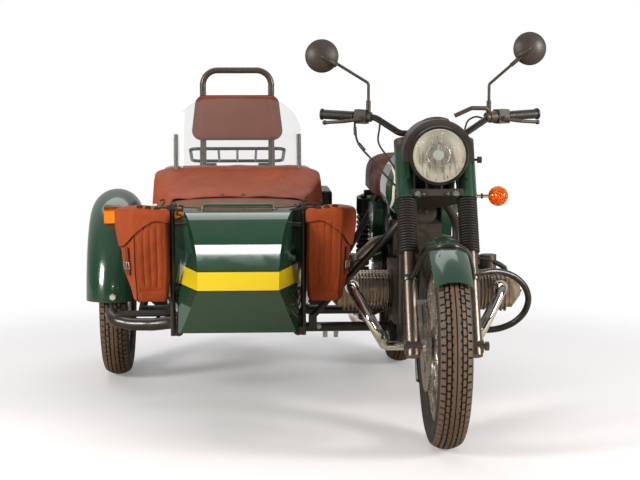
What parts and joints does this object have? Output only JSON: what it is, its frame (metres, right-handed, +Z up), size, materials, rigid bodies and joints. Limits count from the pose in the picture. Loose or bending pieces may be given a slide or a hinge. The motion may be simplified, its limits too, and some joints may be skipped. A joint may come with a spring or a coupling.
{
  "type": "sidecar motorcycle",
  "caption": "Flat-twin motorcycle with a passenger sidecar on its right: telescopic fork, spoked wheels, hollow tub with windscreen, apron, bags and a boot with a lid.",
  "frame": {"origin": "middle of the footprint's box, on the ground", "axes": "+Z up, -Y forwards, +X to the rider's left, away from the sidecar"},
  "size_m": [1.628, 2.3709, 1.3458],
  "materials": {
    "green_paint": "gloss bottle-green paint",
    "black_paint": "gloss black paint",
    "black_plastic": "grained black-brown plastic",
    "tyre": "worn rubber",
    "rubber": "black rubber",
    "alloy": "cast and machined",
    "rim_alloy": "polished",
    "chrome": "bright plated",
    "steel": "satin",
    "bronze": "dark bronze paint",
    "tan_leather": "tan leather",
    "brown_leather": "brown leather",
    "clear_glass": "clear",
    "lens_glass": "fluted clear",
    "amber": "amber lens",
    "red_lens": "red lens"
  },
  "bodies": {
    "chassis": {"main_frame": "black_paint", "engine_block": "alloy", "cylinders": "alloy", "rocker_covers": "alloy", "intake": "steel", "exhaust_pipes": "chrome", "mufflers": "chrome", "fuel_tank": "green_paint", "fuel_cap": "chrome", "rider_seat": "brown_leather", "rear_mudguard": "green_paint", "lamps": "amber", "side_panels": "green_paint", "crash_bars": "black_paint", "foot_controls": "black_paint", "swingarm": "black_paint", "rear_shocks": "black_paint", "sidecar_frame": "black_paint", "sidecar_struts": "black_paint", "sidecar_suspension": "black_paint", "bumper_bar": "black_paint", "sidecar_body": "green_paint", "grab_bar": "green_paint", "apron": "tan_leather", "windscreen": "clear_glass", "windscreen_posts": "bronze", "sidecar_seat": "brown_leather", "headrest_hoop": "bronze", "headrest": "tan_leather", "sidecar_mudguard": "green_paint", "bag_racks": "black_paint", "bag_outer": "tan_leather", "bag_inner": "tan_leather", "fuel_can": "black_paint"},
    "steering": {"fork_legs": "black_paint", "fork_gaiters": "rubber", "fork_shrouds": "green_paint", "fork_yokes": "black_paint", "fork_brace": "black_paint", "front_mudguard": "green_paint", "brake_caliper": "steel", "headlamp": "black_paint", "headlamp_lens": "lens_glass", "nacelle": "black_plastic", "front_indicator": "amber", "handlebar": "black_paint", "bar_grips": "rubber", "bar_controls": "black_plastic", "mirrors": "black_plastic", "control_cables": "rubber"},
    "front_wheel": {"front_tyre": "tyre", "front_wheel_core": "rim_alloy"},
    "rear_wheel": {"rear_tyre": "tyre", "rear_wheel_core": "rim_alloy"},
    "sidecar_wheel": {"sidecar_tyre": "tyre", "sidecar_wheel_core": "rim_alloy"},
    "boot": {"boot_lid": "green_paint", "boot_rack": "black_paint"}
  },
  "joints": [
    {"name": "steer", "type": "hinge", "parent": "chassis", "child": "steering", "pos_m": [0.424, -0.57214, 0.76401], "axis": [0, 0.454, 0.891], "range_deg": [-35, 35]},
    {"name": "front_axle", "type": "hinge", "parent": "steering", "child": "front_wheel", "pos_m": [0.424, -0.8545, 0.331], "axis": [1, 0, 0], "continuous": true},
    {"name": "rear_axle", "type": "hinge", "parent": "chassis", "child": "rear_wheel", "pos_m": [0.424, 0.6455, 0.331], "axis": [1, 0, 0], "continuous": true},
    {"name": "sidecar_axle", "type": "hinge", "parent": "chassis", "child": "sidecar_wheel", "pos_m": [-0.716, 0.4255, 0.331], "axis": [1, 0, 0], "continuous": true},
    {"name": "boot_hinge", "type": "hinge", "parent": "chassis", "child": "boot", "pos_m": [-0.241, 0.7385, 0.81042], "axis": [1, 0, 0], "range_deg": [0, 60]}
  ]
}
